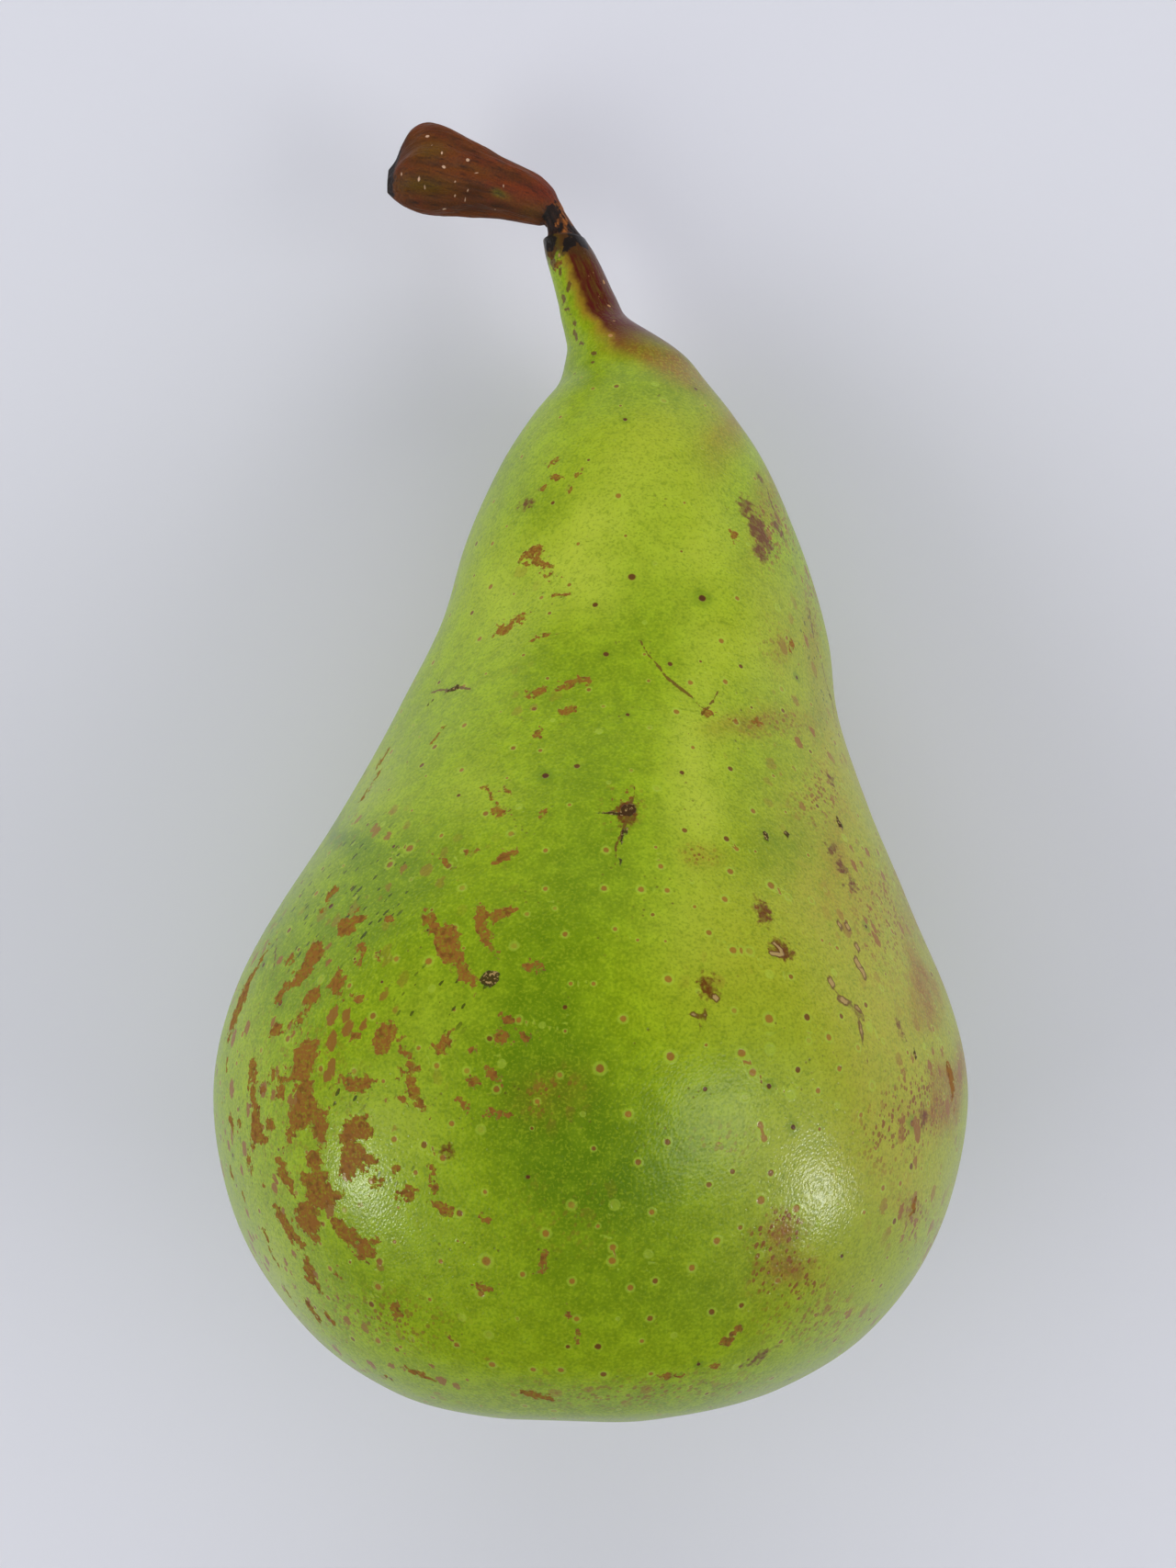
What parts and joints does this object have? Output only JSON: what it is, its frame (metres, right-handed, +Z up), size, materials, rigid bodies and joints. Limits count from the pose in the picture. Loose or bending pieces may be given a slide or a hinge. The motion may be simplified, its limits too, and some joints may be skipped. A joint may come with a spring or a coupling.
{
  "type": "pear",
  "caption": "Whole green pear with a narrow neck and a short bent stalk, lying on its side as it comes to rest.",
  "frame": {"origin": "centre of the bounding box in X and Y, at the height of the table under the flat spot of the belly", "axes": "+Z up as the pear lies, +Y from the base towards the stalk, +X to the right seen from above with the stalk away from the viewer"},
  "size_m": [0.0656, 0.1154, 0.0634],
  "materials": {
    "skin": null,
    "bark": "dry brown wrinkled stalk",
    "sepals": "dry dark withered sepals"
  },
  "bodies": {
    "root": {"fruit": "skin", "stalk": "bark", "calyx": "sepals"}
  },
  "joints": []
}
